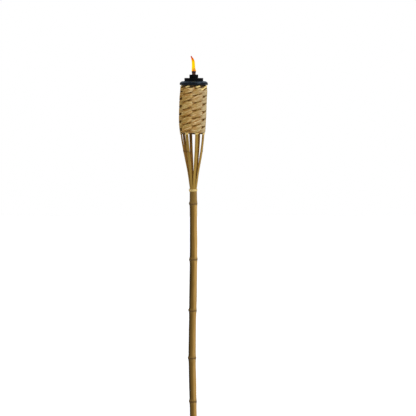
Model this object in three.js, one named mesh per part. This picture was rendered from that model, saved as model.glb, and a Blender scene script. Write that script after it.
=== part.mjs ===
// Garden torch: a bamboo culm whose slit top is woven into a basket, which holds a lamp-oil canister
// with a screw-on wick burner. Millimetres, +Z up. The origin is the centre of the culm's cut foot,
// and the canister stands on the same vertical line. The front is -Y.
import * as THREE from 'three';

const TAU = 2 * Math.PI;
const GAP = 0.35; // clearance between pieces that touch

// ---- Driving dimensions ----
const TOTAL_HEIGHT = 1219; // foot to wick top, 48 in

// Culm
const CULM_RADIUS = 10.7;
const CULM_BORE = 6.8;
const SLIT_START = 858; // height where the culm is slit into splints
const NODE_HEIGHTS = [89, 211, 344, 489, 645, 815];
const SPLINT_NODE_HEIGHT = 974; // the next node, which each splint carries a piece of
const NODE_SWELL = 1.15;
const FOOT_BORE_DEPTH = 78;
const TOP_BORE_DEPTH = 36;

// Basket
const SPLINT_TOP = 1185;
const SPLINT_WIDTH = 8.2;
const SPLINT_THICKNESS = 2.8;
const STAKE_ANGLES = [-87, -30.5, 20.4, 69.4, 108, 148, 190, 232]; // degrees, from the front to the right
const FIRST_SPLINT_ANGLE = -76; // of the first splint where the culm is slit
const ROW_PITCH = 23.3;
const FIRST_ROW = 1160.9; // height of the first row of weave at the front
const ROW_GAP = 0.5; // clearance between neighbouring rows where their strands cross
const WEAVE_ENDS = [1031.5, 1168.5]; // edges of the weave, between the rim canes
const RIBBON_WIDTH = 18.8;
const RIBBON_NECK = 9.2; // width where two ribbons cross between stakes
const NECK_SPREAD = [0.06, 0.34]; // where a ribbon spreads out beyond a crossing, in stake spacings
const RIBBON_THICKNESS = 1.1;
const RIBBON_RISE = 6.3; // half the height that one stitch climbs
const WEAVE_GAP = 0.65; // clearance between the stakes and what is woven round them
const TOP_CANE = { height: 1172.8, thick: 2.4, tall: 4.2, rise: 1.8 };
const BOTTOM_CANE = { height: 1028.2, thick: 2.2, tall: 4, rise: 1.2 };
const BINDING = { low: 852.9, pitch: 3.1, turns: 1.7, inner: 11.2, thick: 1.2, tall: 2.7 };

// Canister
const CAN_RADIUS = 30.4;
const CAN_FOOT = 1080;
const SHEET = 0.8; // thickness of the pressed steel
const FLANGE_RADIUS = 42.5;
const FLANGE_TOP = 1188.6;
const FLANGE_SHOULDER = 35; // radius where the flat top turns down
const FLANGE_LIP = 1178.4;
const NECK_RADIUS = 25.4;
const NECK_TOP = 1195.6;

// Burner
const CAP_RADIUS = 28;
const CAP_TOP = 1198.3;
const COLLAR_RADIUS = 12.6;
const COLLAR_TOP = 1208.7;
const SLEEVE_RADIUS = 6.3;
const SLEEVE_BORE = 5.5;
const SLEEVE_FOOT = 1152;
const WICK_RADIUS = 5.1;
const WICK_HEAD_RADIUS = 6;
const WICK_FOOT = 1092;

// ---- Shape tools ----

// A smooth function through points [x, y], with level ends.
function smoothThrough(points) {
  const slopes = points.map((point, i) => {
    if (i === 0 || i === points.length - 1) return 0;
    const [before, after] = [points[i - 1], points[i + 1]];
    return (after[1] - before[1]) / (after[0] - before[0]);
  });
  return (x) => {
    const last = points.length - 1;
    if (x <= points[0][0]) return points[0][1];
    if (x >= points[last][0]) return points[last][1];
    const i = points.findIndex((point) => point[0] > x) - 1;
    const width = points[i + 1][0] - points[i][0];
    const t = (x - points[i][0]) / width;
    const low = (1 + 2 * t) * (1 - t) ** 2 * points[i][1] + t * (1 - t) ** 2 * width * slopes[i];
    const high = t * t * (3 - 2 * t) * points[i + 1][1] + t * t * (t - 1) * width * slopes[i + 1];
    return low + high;
  };
}

// Turns a closed geometry's faces outwards.
function facingOut(geometry) {
  const place = geometry.getAttribute('position');
  const index = geometry.getIndex().array;
  const [a, b, c] = [new THREE.Vector3(), new THREE.Vector3(), new THREE.Vector3()];
  let volume = 0;
  for (let i = 0; i < index.length; i += 3) {
    a.fromBufferAttribute(place, index[i]);
    b.fromBufferAttribute(place, index[i + 1]);
    c.fromBufferAttribute(place, index[i + 2]);
    volume += a.dot(b.cross(c));
  }
  if (volume < 0) {
    for (let i = 0; i < index.length; i += 3) [index[i], index[i + 1]] = [index[i + 1], index[i]];
  }
  return geometry;
}

// A closed body through outlines that all have the same number of points. A ring joins its last
// outline to its first, and any other body is closed by a flat face at each end.
function loft(outlines, ring = false) {
  const count = outlines[0].length;
  const index = [];
  const pairs = ring ? outlines.length : outlines.length - 1;
  for (let i = 0; i < pairs; i += 1) {
    const [near, far] = [i * count, ((i + 1) % outlines.length) * count];
    for (let j = 0; j < count; j += 1) {
      const k = (j + 1) % count;
      index.push(near + j, near + k, far + k, near + j, far + k, far + j);
    }
  }
  if (!ring) {
    const top = (outlines.length - 1) * count;
    for (let j = 1; j < count - 1; j += 1) {
      index.push(0, j + 1, j, top, top + j, top + j + 1);
    }
  }
  const geometry = new THREE.BufferGeometry().setFromPoints(outlines.flat());
  geometry.setIndex(index);
  return facingOut(geometry);
}

// A body of revolution about +Z from a closed outline of [radius, height] points.
function turned(outline, segments) {
  const profile = [...outline, outline[0]].map(([radius, height]) => new THREE.Vector2(radius, height));
  return facingOut(new THREE.LatheGeometry(profile, segments).rotateX(Math.PI / 2));
}

// Points [radius, height] on a quarter of an ellipse, from its top to its side.
function quarter(radius, height, halfWidth, halfHeight, steps) {
  return Array.from({ length: steps + 1 }, (_, i) => {
    const turn = (i / steps) * (TAU / 4);
    return [radius + halfWidth * Math.sin(turn), height + halfHeight * Math.cos(turn)];
  });
}

// A bar swept along a path, which lies on a wall round the basket's axis: thick is its size across
// the wall and tall(i) its size along the wall. Its outline has the given number of sides.
function swept(path, thick, tall, sides, ring = false) {
  const count = path.length;
  const at = (i) => (ring ? path[(i + count) % count] : path[Math.min(Math.max(i, 0), count - 1)]);
  const start = sides === 4 ? TAU / 8 : 0;
  const reach = sides === 4 ? Math.SQRT1_2 : 0.5; // a four-sided outline is a full rectangle
  const outlines = path.map((point, i) => {
    const along = at(i + 1).clone().sub(at(i - 1)).normalize();
    const out = wallNormal(point);
    out.addScaledVector(along, -out.dot(along)).normalize();
    const up = new THREE.Vector3().crossVectors(along, out);
    return Array.from({ length: sides }, (_, j) => {
      const turn = start + (j / sides) * TAU;
      return point
        .clone()
        .addScaledVector(out, reach * thick * Math.cos(turn))
        .addScaledVector(up, reach * tall(i) * Math.sin(turn));
    });
  });
  return loft(outlines, ring);
}

// ---- Natural shape of the culm and the basket ----

// How far the culm's middle wanders from the vertical, sideways and in depth.
const sidewaysSway = smoothThrough([
  [0, 0], [95, -0.4], [211, -2.4], [285, -4], [345, -5], [400, -4.7], [447, -4.1], [515, -2.6], [610, -1.3],
  [690, -0.7], [740, -0.9], [870, -1.5], [950, -1.8], [1005, -2.9], [1040, -3.8], [1065, -3.9], [1133, -1.8],
  [1165, 0],
]);
const depthSway = smoothThrough([[0, 0], [250, 1.6], [520, -1.2], [760, 0.6], [900, 0]]);

// The culm's radius between its nodes.
const culmGirth = smoothThrough([
  [0, 9.8], [100, 9.9], [226, 10.2], [263, 10.6], [323, 10.5], [372, 10.8], [421, 10.5], [470, 10.4],
  [518, 11.1], [567, 11.1], [670, 10.9], [705, 11], [750, 10.6], [790, 10.7], [SLIT_START, CULM_RADIUS],
]);

// Radius of the splints' outer faces, from the slit culm through the cone to the basket's rim.
const splintReach = smoothThrough([
  [SLIT_START, CULM_RADIUS], [863, 11], [880, 13.4], [915, 18.1], [970, 28.1], [1005, 33.6],
  [1030, 36.3], [1050, 38.3], [1075, 39.6], [1110, 39.9], [1145, 39.4], [1176, 37.9], [SPLINT_TOP, 37.5],
]);

// Share of the way from the culm's round wall to a flat basket stake.
const stakeShare = smoothThrough([[SLIT_START, 0], [930, 0.8], [1000, 1]]);
const splintTwist = smoothThrough([[SLIT_START, 0], [930, 0.45], [1035, 1]]);

// Middle of the culm and the basket at a height.
function middle(z) {
  return new THREE.Vector3(sidewaysSway(z), depthSway(z), z);
}

// Direction from the middle at an angle from the front towards the right.
function towards(degrees) {
  const angle = THREE.MathUtils.degToRad(degrees);
  return new THREE.Vector3(Math.sin(angle), -Math.cos(angle), 0);
}

// Direction out of the basket's leaning wall next to a point.
function wallNormal(point) {
  const out = point.clone().sub(middle(point.z)).setZ(0).normalize();
  const across = new THREE.Vector3(-out.y, out.x, 0);
  const upper = middle(point.z + 2).addScaledVector(out, splintReach(point.z + 2));
  const lower = middle(point.z - 2).addScaledVector(out, splintReach(point.z - 2));
  return across.cross(upper.sub(lower)).normalize();
}

// Swelling at a node: a broad shoulder with a sharper ridge on it.
function swelling(distance) {
  return NODE_SWELL * (0.6 * Math.exp(-((distance / 9) ** 2)) + 0.4 * Math.exp(-((distance / 3) ** 2)));
}

// Angle of a place among the stakes, where 0, 1, 2 ... are stakes and 8 comes back to the first.
function stakeAngle(place) {
  const count = STAKE_ANGLES.length;
  const angle = (k) => STAKE_ANGLES[((k % count) + count) % count] + 360 * Math.floor(k / count);
  const below = Math.floor(place);
  return THREE.MathUtils.lerp(angle(below), angle(below + 1), place - below);
}

// The weave's row at an angle along its spiral: its middle height, and its size as a share of a full row.
// The first and the last turn shrink into what is left between their neighbour and the rim.
function rowAt(angle) {
  const [low, high] = WEAVE_ENDS;
  const level = FIRST_ROW - (ROW_PITCH * angle) / 360;
  const reach = RIBBON_RISE + RIBBON_NECK / 2;
  const left = Math.min(level - low, high - level) + ROW_PITCH - reach - ROW_GAP;
  const share = Math.min(1, left / (2 * reach));
  return { share, level: THREE.MathUtils.clamp(level, low + reach * share, high - reach * share) };
}

// A point among the stakes for a strand this thick: side is 1 just outside them and -1 just inside.
function amongStakes(place, z, side, thick) {
  const reach = side * (SPLINT_THICKNESS / 2 + WEAVE_GAP + thick / 2);
  return middle(z).addScaledVector(towards(stakeAngle(place)), splintReach(z) - SPLINT_THICKNESS / 2 + reach);
}

// Goes from 1 to -1 and back as a strand passes outside and inside.
function inAndOut(beat, steepness) {
  return Math.tanh(steepness * Math.cos(beat)) / Math.tanh(steepness);
}

// ---- Pieces ----

function poleGeometry() {
  const sides = 20;
  const heights = new Set([0, 3, 45, 150, 178, 280, 312, 380, 415, 450, 525, 565, 605, 690, 730, 770, 845]);
  NODE_HEIGHTS.forEach((node) => [-14, -6, -2, 0, 2, 6, 14].forEach((step) => heights.add(node + step)));
  const stations = [...heights].sort((a, b) => a - b);
  const girth = (z) => culmGirth(z) + NODE_HEIGHTS.reduce((sum, node) => sum + swelling(z - node), 0);
  const profile = [
    [CULM_BORE, FOOT_BORE_DEPTH],
    [CULM_BORE, 0],
    [girth(0) - 0.6, 0],
    ...stations.slice(1).map((z) => [girth(z), z]),
    [CULM_RADIUS, SLIT_START],
    [CULM_BORE, SLIT_START],
    [CULM_BORE, SLIT_START - TOP_BORE_DEPTH],
  ];
  return loft(
    profile.map(([radius, z]) =>
      Array.from({ length: sides }, (_, i) => middle(z).addScaledVector(towards((i / sides) * 360), radius)),
    ),
  );
}

function splintGeometry(number) {
  const stations = [SLIT_START + GAP, 866, 880, 897, 915, 933, 952, 966, 974, 982, 1005, 1022, 1038, 1054,
    1072, 1090, 1110, 1128, 1145, 1160, 1174, SPLINT_TOP];
  const slitAngle = FIRST_SPLINT_ANGLE + (number * 360) / STAKE_ANGLES.length;
  const outlines = stations.map((z) => {
    const share = stakeShare(z);
    const angle = THREE.MathUtils.lerp(slitAngle, STAKE_ANGLES[number], splintTwist(z));
    const outer = splintReach(z) + 0.4 * swelling(z - SPLINT_NODE_HEIGHT);
    const inner = splintReach(z) - THREE.MathUtils.lerp(CULM_RADIUS - CULM_BORE, SPLINT_THICKNESS, share);
    const halfOuter = THREE.MathUtils.lerp(3.75, SPLINT_WIDTH / 2, share);
    const halfInner = THREE.MathUtils.lerp(2.3, SPLINT_WIDTH / 2 - 0.3, share);
    const outerSag = halfOuter ** 2 / (2 * CULM_RADIUS);
    const innerSag = (1 - share) * (halfInner ** 2 / (2 * CULM_BORE));
    const out = towards(angle);
    const across = towards(angle + 90);
    const corner = (side, radius) => middle(z).addScaledVector(out, radius).addScaledVector(across, side);
    return [
      corner(0, outer),
      corner(halfOuter, outer - outerSag),
      corner(halfInner, inner - innerSag),
      corner(0, inner),
      corner(-halfInner, inner - innerSag),
      corner(-halfOuter, outer - outerSag),
    ];
  });
  return loft(outlines);
}

// A flat ribbon that spirals down from stake `first` to stake `last`, outside every other stake. It climbs
// to the right on the outside, and closes up where it crosses the other ribbon.
function ribbonGeometry(first, last, phase) {
  const places = Array.from({ length: (last - first) * 8 + 1 }, (_, i) => first + i / 8);
  const widths = [];
  const path = places.map((place) => {
    const beat = Math.PI * (place + phase);
    const { level, share } = rowAt(stakeAngle(place));
    const climb = Math.asin(0.96 * Math.sin(beat)) / Math.asin(0.96);
    const apart = Math.abs(place - Math.round(place));
    const fullness = THREE.MathUtils.smoothstep(0.5 - apart, ...NECK_SPREAD);
    widths.push(share * THREE.MathUtils.lerp(RIBBON_NECK, RIBBON_WIDTH, fullness));
    return amongStakes(place, level + share * RIBBON_RISE * climb, inAndOut(beat, 2.5), RIBBON_THICKNESS);
  });
  return swept(path, RIBBON_THICKNESS, (i) => widths[i], 4);
}

// A cane lashed round the rim: it climbs across each stake outside and drops back inside between stakes.
function caneGeometry(cane) {
  const perStake = 16;
  const path = Array.from({ length: STAKE_ANGLES.length * perStake }, (_, i) => {
    const beat = (TAU * i) / perStake;
    const z = cane.height + cane.rise * Math.sin(beat);
    return amongStakes(i / perStake, z, inAndOut(beat, 5), cane.thick);
  });
  return swept(path, cane.thick, () => cane.tall, 6, true);
}

function bindingGeometry() {
  const steps = Math.round(BINDING.turns * 18);
  const path = Array.from({ length: steps + 1 }, (_, i) => {
    const turns = (i / steps) * BINDING.turns;
    const z = BINDING.low + BINDING.pitch * turns;
    return middle(z).addScaledVector(towards(turns * 360 - 110), BINDING.inner + BINDING.thick / 2);
  });
  return swept(path, BINDING.thick, () => BINDING.tall, 6);
}

function canWallGeometry() {
  const [outer, inner, top] = [CAN_RADIUS, CAN_RADIUS - SHEET, FLANGE_TOP - SHEET - GAP];
  return turned([
    [inner, CAN_FOOT + 4], [inner, CAN_FOOT], [outer + 0.5, CAN_FOOT], [outer + 0.5, CAN_FOOT + 2.6],
    [outer, CAN_FOOT + 3.4], [outer, top - 3], [outer + 1, top - 1.6], [outer + 1, top],
    [inner, top], [inner, CAN_FOOT + 60],
  ], 32);
}

function canBottomGeometry() {
  const rim = CAN_RADIUS - SHEET - GAP;
  return turned([
    [0, CAN_FOOT + 3.4], [rim - 3.4, CAN_FOOT + 3.4], [rim - 1.2, CAN_FOOT + 0.6], [rim, CAN_FOOT + 0.6],
    [rim, CAN_FOOT + 1.5], [rim - 0.8, CAN_FOOT + 1.5], [rim - 3, CAN_FOOT + 4.3], [0, CAN_FOOT + 4.3],
  ], 32);
}

function canFlangeGeometry() {
  const side = FLANGE_LIP + 2.8;
  const [width, height] = [FLANGE_RADIUS - FLANGE_SHOULDER, FLANGE_TOP - side];
  return turned([
    [NECK_RADIUS - SHEET, NECK_TOP], [NECK_RADIUS, NECK_TOP], [NECK_RADIUS, NECK_TOP - 2.4],
    [NECK_RADIUS + 0.5, NECK_TOP - 3.2], [NECK_RADIUS, NECK_TOP - 4], [NECK_RADIUS, FLANGE_TOP],
    ...quarter(FLANGE_SHOULDER, side, width, height, 6),
    [FLANGE_RADIUS - 0.2, FLANGE_LIP + 0.4], [FLANGE_RADIUS - 0.8, FLANGE_LIP],
    ...quarter(FLANGE_SHOULDER, side, width - SHEET, height - SHEET, 5).reverse(),
    [NECK_RADIUS - SHEET, FLANGE_TOP - SHEET],
  ], 32);
}

function burnerCapGeometry() {
  const foot = FLANGE_TOP + GAP;
  const hole = SLEEVE_RADIUS + GAP;
  return turned([
    [hole, CAP_TOP], [CAP_RADIUS - 0.8, CAP_TOP], [CAP_RADIUS, CAP_TOP - 0.8], [CAP_RADIUS, foot + 0.4],
    [CAP_RADIUS - 0.3, foot], [CAP_RADIUS - SHEET - 0.4, foot], [CAP_RADIUS - SHEET, foot + 0.8],
    [CAP_RADIUS - SHEET, CAP_TOP - SHEET], [hole, CAP_TOP - SHEET],
  ], 32);
}

function gasketGeometry() {
  const [low, high] = [NECK_TOP + GAP, CAP_TOP - SHEET - GAP];
  return turned([[22, low], [26.4, low], [26.4, high], [22, high]], 28);
}

function collarGeometry() {
  const [foot, hole] = [CAP_TOP + GAP, SLEEVE_RADIUS + GAP];
  return turned([
    [hole, COLLAR_TOP - SHEET], [hole, COLLAR_TOP], [COLLAR_RADIUS - 0.7, COLLAR_TOP],
    [COLLAR_RADIUS, COLLAR_TOP - 0.7], [COLLAR_RADIUS, foot], [COLLAR_RADIUS - SHEET, foot],
    [COLLAR_RADIUS - SHEET, COLLAR_TOP - SHEET],
  ], 28);
}

function sleeveGeometry() {
  const top = COLLAR_TOP - GAP;
  return turned([
    [SLEEVE_BORE, SLEEVE_FOOT], [SLEEVE_RADIUS, SLEEVE_FOOT], [SLEEVE_RADIUS, top], [SLEEVE_BORE, top],
  ], 24);
}

function wickGeometry() {
  const head = TOTAL_HEIGHT - 6.6; // where the charred fibres start to spread
  return turned([
    [0, WICK_FOOT], [WICK_RADIUS - 0.4, WICK_FOOT], [WICK_RADIUS, WICK_FOOT + 1], [WICK_RADIUS, head],
    [WICK_HEAD_RADIUS - 0.2, TOTAL_HEIGHT - 3.2], [WICK_HEAD_RADIUS, TOTAL_HEIGHT - 1.4],
    [WICK_HEAD_RADIUS - 1, TOTAL_HEIGHT], [0, TOTAL_HEIGHT],
  ], 20);
}

// ---- Materials ----
const culm = () => new THREE.MeshStandardMaterial({ color: 0x7d6534, roughness: 0.55, metalness: 0 });
const weave = () => new THREE.MeshStandardMaterial({ color: 0xa98c5c, roughness: 0.75, metalness: 0 });
const cane = () => new THREE.MeshStandardMaterial({ color: 0xcbb478, roughness: 0.6, metalness: 0 });
const enamel = () => new THREE.MeshStandardMaterial({ color: 0x101114, roughness: 0.35, metalness: 0.2 });
const steel = () => new THREE.MeshStandardMaterial({ color: 0x9a9c9e, roughness: 0.4, metalness: 0.9 });
const rubber = () => new THREE.MeshStandardMaterial({ color: 0x1c1c1c, roughness: 0.8, metalness: 0 });
const fibre = () => new THREE.MeshStandardMaterial({ color: 0x6a5a48, roughness: 0.95, metalness: 0 });

// ---- Assembly ----
const torch = new THREE.Group();

function add(name, geometry, material) {
  const mesh = new THREE.Mesh(geometry, material);
  mesh.name = name;
  torch.add(mesh);
}

add('pole', poleGeometry(), culm());
STAKE_ANGLES.forEach((_, i) => add(`splint_${i + 1}`, splintGeometry(i), culm()));
add('weave_strand_a', ribbonGeometry(-3, 47, 0), weave());
add('weave_strand_b', ribbonGeometry(-2, 48, 1), weave());
add('top_cane', caneGeometry(TOP_CANE), cane());
add('bottom_cane', caneGeometry(BOTTOM_CANE), cane());
add('pole_binding', bindingGeometry(), cane());
add('can_wall', canWallGeometry(), enamel());
add('can_bottom', canBottomGeometry(), enamel());
add('can_flange', canFlangeGeometry(), enamel());
add('cap_gasket', gasketGeometry(), rubber());
add('burner_cap', burnerCapGeometry(), enamel());
add('wick_collar', collarGeometry(), enamel());
add('wick_sleeve', sleeveGeometry(), steel());
add('wick', wickGeometry(), fibre());

export default torch;
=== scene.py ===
"""Looks of the bamboo garden torch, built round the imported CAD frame.

Shapes are worked out in millimetres and turned into metres where a mesh is made.
+Z is up and the front is -Y.
"""

import math

import bpy
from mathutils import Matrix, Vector, noise


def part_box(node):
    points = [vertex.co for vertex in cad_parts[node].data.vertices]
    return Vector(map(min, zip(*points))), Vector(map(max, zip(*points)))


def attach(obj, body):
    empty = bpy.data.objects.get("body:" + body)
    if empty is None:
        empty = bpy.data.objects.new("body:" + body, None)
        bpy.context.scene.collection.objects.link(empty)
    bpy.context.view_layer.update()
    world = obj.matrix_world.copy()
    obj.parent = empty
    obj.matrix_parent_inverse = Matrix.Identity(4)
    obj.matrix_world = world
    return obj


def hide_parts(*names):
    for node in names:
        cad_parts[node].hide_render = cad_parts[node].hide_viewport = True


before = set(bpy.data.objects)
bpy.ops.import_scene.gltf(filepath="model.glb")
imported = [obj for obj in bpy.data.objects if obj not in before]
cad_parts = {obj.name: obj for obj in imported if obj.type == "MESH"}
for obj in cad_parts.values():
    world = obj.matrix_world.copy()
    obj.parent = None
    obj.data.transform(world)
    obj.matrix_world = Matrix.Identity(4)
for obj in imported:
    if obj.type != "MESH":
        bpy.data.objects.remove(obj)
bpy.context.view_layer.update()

MM = 0.001
TAU = 2 * math.pi

# ---- Driving dimensions, which are the CAD part's own ----
CULM_RADIUS = 10.7
CULM_BORE = 6.8
SLIT_START = 858  # height where the culm is slit into splints
NODE_HEIGHTS = [89, 211, 344, 489, 645, 815]
SPLINT_NODE_HEIGHT = 974
NODE_SWELL = 1.15
FOOT_BORE_DEPTH = 78
TOP_BORE_DEPTH = 36
SPLINT_TOP = 1185
SPLINT_WIDTH = 8.2
SPLINT_THICKNESS = 2.8
STAKE_ANGLES = [-87, -30.5, 20.4, 69.4, 108, 148, 190, 232]  # degrees, from the front to the right
FIRST_SPLINT_ANGLE = -76  # of the first splint where the culm is slit
GAP = 0.35  # clearance between pieces that touch
ROW_PITCH = 23.3
FIRST_ROW = 1160.9  # height of the first row of weave at the front
ROW_GAP = 0.5  # clearance between neighbouring rows where their strands cross
WEAVE_ENDS = (1031.5, 1168.5)  # edges of the weave, between the rim canes
RIBBON_NECK = 9.2  # width where two strands cross between stakes
RIBBON_THICKNESS = 1.1
RIBBON_RISE = 6.3  # half the height that one stitch climbs
WEAVE_GAP = 0.65  # clearance between the stakes and what is woven round them
NECK_RADIUS = 25.4

# ---- Detail that the CAD part leaves out, or that differs from it ----
STRAND_PLACES = (-3, 49)  # first and last place of strand a among the stakes; strand b is one stake on
STRIPS = 4  # strips in a strand
STRIP_WIDTH = 5.6
STRIP_THICKNESS = 0.8
BUNDLE_WIDTH = 19.6
BUNDLE_NECK = 15.5  # a bundle of strips squeezes together this far where it crosses another
BELLY = 0.8  # how far the strips belly out beyond their ribbon
RIM_BELLY = 1.6  # the same under the rim
SKIN = 0.5  # waxy skin on the culm
FLUTES = 60  # grip flutes round the cap
WICK_HOLE = 6.65  # radius of the hole in the cap and the collar
WICK_RADIUS = 5
SLEEVE_WALL = 0.35  # thin enough for the charred wick to be drawn down into the sleeve
FLAME_HEIGHT = 46.2
# Rim canes: the length and slope of a stitch over a stake, and how far the cane lifts and swells between
# the stakes, where it passes inside.
TOP_CANE = {"height": 1171.8, "thick": 2.4, "tall": 4.6,
            "stitch": 13, "slope": 0.24, "lift": 2, "lap": 1, "seed": 11}
BOTTOM_CANE = {"height": 1028.2, "thick": 2.2, "tall": 4,
               "stitch": 11, "slope": 0.15, "lift": 2, "lap": 0.4, "seed": 17}


# ---- Shape tools ----
def smooth_through(points):
    """A smooth function through points (x, y), with level ends."""
    slopes = [0.0] * len(points)
    for i in range(1, len(points) - 1):
        (x0, y0), (x1, y1) = points[i - 1], points[i + 1]
        slopes[i] = (y1 - y0) / (x1 - x0)

    def at(x):
        if x <= points[0][0]:
            return points[0][1]
        if x >= points[-1][0]:
            return points[-1][1]
        i = next(k for k, point in enumerate(points) if point[0] > x) - 1
        width = points[i + 1][0] - points[i][0]
        t = (x - points[i][0]) / width
        low = (1 + 2 * t) * (1 - t) ** 2 * points[i][1] + t * (1 - t) ** 2 * width * slopes[i]
        high = t * t * (3 - 2 * t) * points[i + 1][1] + t * t * (t - 1) * width * slopes[i + 1]
        return low + high

    return at


def lerp(a, b, t):
    return a + (b - a) * t


def clamp(value, low, high):
    return max(low, min(high, value))


def spaced(low, high, step):
    """Numbers from low to high, evenly spaced by about step."""
    count = max(1, round((high - low) / step))
    return [lerp(low, high, i / count) for i in range(count + 1)]


def wobble(x, seed, size=1.0):
    """Smooth noise from -size to size along x, different for each seed."""
    return size * noise.noise(Vector((x, 7.3 * seed + 0.37, 3.1 * seed)))


def box(node):
    """A CAD node's lowest and highest corner, in millimetres."""
    return [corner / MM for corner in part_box(node)]


class Shape:
    """Points in millimetres with their place in the grain, and the faces between them."""

    def __init__(self):
        self.points, self.faces, self.grain, self.node_gap, self.inside = [], [], [], [], []

    def outline(self, points, grain, node_gap=100.0, inside=0.0):
        first = len(self.points)
        self.points += points
        self.grain += grain
        self.node_gap += [node_gap] * len(points)
        self.inside += [inside] * len(points)
        return range(first, first + len(points))

    def skin(self, outlines, ring=False):
        """Faces through outlines with equal numbers of points: a ring, or a body with flat ends."""
        count = len(outlines[0])
        pairs = list(zip(outlines, outlines[1:]))
        if ring:
            pairs.append((outlines[-1], outlines[0]))
        for near, far in pairs:
            for j in range(count):
                k = (j + 1) % count
                self.faces.append((near[j], near[k], far[k], far[j]))
        if not ring:
            self.faces.append(tuple(reversed(outlines[0])))
            self.faces.append(tuple(outlines[-1]))

    def build(self, name, material, body, replaced, slot, sharp_degrees=40):
        """Makes the piece, smooth-shaded, riding on its body in place of its CAD nodes."""
        mesh = bpy.data.meshes.new(name)
        mesh.from_pydata([tuple(p * MM for p in point) for point in self.points], [], self.faces)
        for key, rows in (("grain", self.grain), ("place", self.points)):
            made = mesh.attributes.new(key, "FLOAT_VECTOR", "POINT")
            made.data.foreach_set("vector", [value * MM for row in rows for value in row])
        for key, values in (("node_gap", [gap * MM for gap in self.node_gap]), ("inside", self.inside)):
            made = mesh.attributes.new(key, "FLOAT", "POINT")
            made.data.foreach_set("value", values)
        face_outwards(mesh)
        mesh.shade_smooth()
        mesh.set_sharp_from_angle(angle=math.radians(sharp_degrees))
        mesh.materials.append(material)
        piece = bpy.data.objects.new(name, mesh)
        bpy.context.scene.collection.objects.link(piece)
        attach(piece, body)
        if replaced:
            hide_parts(*replaced)


def face_outwards(mesh):
    """Turns the faces of a mesh of closed bodies outwards."""
    volume = 0.0
    for face in mesh.polygons:
        corners = [mesh.vertices[i].co for i in face.vertices]
        for b, c in zip(corners[1:], corners[2:]):
            volume += corners[0].dot(b.cross(c))
    if volume < 0:
        mesh.flip_normals()


def turned(outline, segments, ripple=None):
    """A body of revolution about the canister's axis from a closed outline of (radius, height).
    ripple(radius, degrees) may move a point outwards."""
    shape = Shape()
    rings = []
    for k in range(segments):
        angle = 360 * k / segments
        out = towards(angle)
        cosine, sine = math.cos(math.radians(angle)), math.sin(math.radians(angle))
        points, grain = [], []
        for radius, z in outline:
            reach = radius + (ripple(radius, angle) if ripple else 0.0)
            points.append(out * reach + Vector((0, 0, z)))
            grain.append((radius * cosine, radius * sine, z))
        rings.append(shape.outline(points, grain))
    shape.skin(rings, ring=True)
    return shape


# ---- Natural shape of the culm and the basket ----
sideways_sway = smooth_through([
    (0, 0), (95, -0.4), (211, -2.4), (285, -4), (345, -5), (400, -4.7), (447, -4.1), (515, -2.6),
    (610, -1.3), (690, -0.7), (740, -0.9), (870, -1.5), (950, -1.8), (1005, -2.9), (1040, -3.8),
    (1065, -3.9), (1133, -1.8), (1165, 0),
])
depth_sway = smooth_through([(0, 0), (250, 1.6), (520, -1.2), (760, 0.6), (900, 0)])
culm_girth = smooth_through([
    (0, 9.8), (100, 9.9), (226, 10.2), (263, 10.6), (323, 10.5), (372, 10.8), (421, 10.5), (470, 10.4),
    (518, 11.1), (567, 11.1), (670, 10.9), (705, 11), (750, 10.6), (790, 10.7), (SLIT_START, CULM_RADIUS),
])
splint_reach = smooth_through([
    (SLIT_START, CULM_RADIUS), (863, 11), (880, 13.4), (915, 18.1), (970, 28.1), (1005, 33.6),
    (1030, 36.3), (1050, 38.3), (1075, 39.6), (1110, 39.9), (1145, 39.4), (1176, 37.9), (SPLINT_TOP, 37.5),
])
stake_share = smooth_through([(SLIT_START, 0), (930, 0.8), (1000, 1)])
splint_twist = smooth_through([(SLIT_START, 0), (930, 0.45), (1035, 1)])


def middle(z):
    return Vector((sideways_sway(z), depth_sway(z), z))


def towards(degrees):
    """Direction at an angle from the front towards the right."""
    angle = math.radians(degrees)
    return Vector((math.sin(angle), -math.cos(angle), 0))


def wall_normal(point):
    """Direction out of the basket's leaning wall next to a point."""
    out = point - middle(point.z)
    out = Vector((out.x, out.y, 0)).normalized()
    across = Vector((-out.y, out.x, 0))
    upper = middle(point.z + 2) + out * splint_reach(point.z + 2)
    lower = middle(point.z - 2) + out * splint_reach(point.z - 2)
    return across.cross(upper - lower).normalized()


def stake_angle(place):
    """Angle of a place among the stakes: whole numbers are stakes, and 8 comes back to the first."""
    count = len(STAKE_ANGLES)
    below = math.floor(place)

    def angle(k):
        return STAKE_ANGLES[k % count] + 360 * (k // count)

    return lerp(angle(below), angle(below + 1), place - below)


def row_at(angle):
    """The weave's row at an angle along its spiral: its middle height, and its size as a share of a full
    row. The first and the last turn shrink into what is left between their neighbour and the rim."""
    low, high = WEAVE_ENDS
    level = FIRST_ROW - ROW_PITCH * angle / 360
    reach = RIBBON_RISE + RIBBON_NECK / 2
    left = min(level - low, high - level) + ROW_PITCH - reach - ROW_GAP
    share = min(1, left / (2 * reach))
    return clamp(level, low + reach * share, high - reach * share), share


def among_stakes(place, z, side, thick):
    """A point among the stakes for a strand this thick: side is 1 just outside them and -1 just inside."""
    reach = side * (SPLINT_THICKNESS / 2 + WEAVE_GAP + thick / 2)
    return middle(z) + towards(stake_angle(place)) * (splint_reach(z) - SPLINT_THICKNESS / 2 + reach)


def in_and_out(beat, steepness):
    """Goes from 1 to -1 and back as a strand passes outside and inside."""
    return math.tanh(steepness * math.cos(beat)) / math.tanh(steepness)


# ---- Materials ----
def set_stops(ramp, stops):
    """Gives a colour ramp its stops (place, colour)."""
    while len(ramp.elements) < len(stops):
        ramp.elements.new(0.5)
    for element, (place, colour) in zip(ramp.elements, stops):
        element.position = place
        element.color = (*colour, 1)


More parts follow.
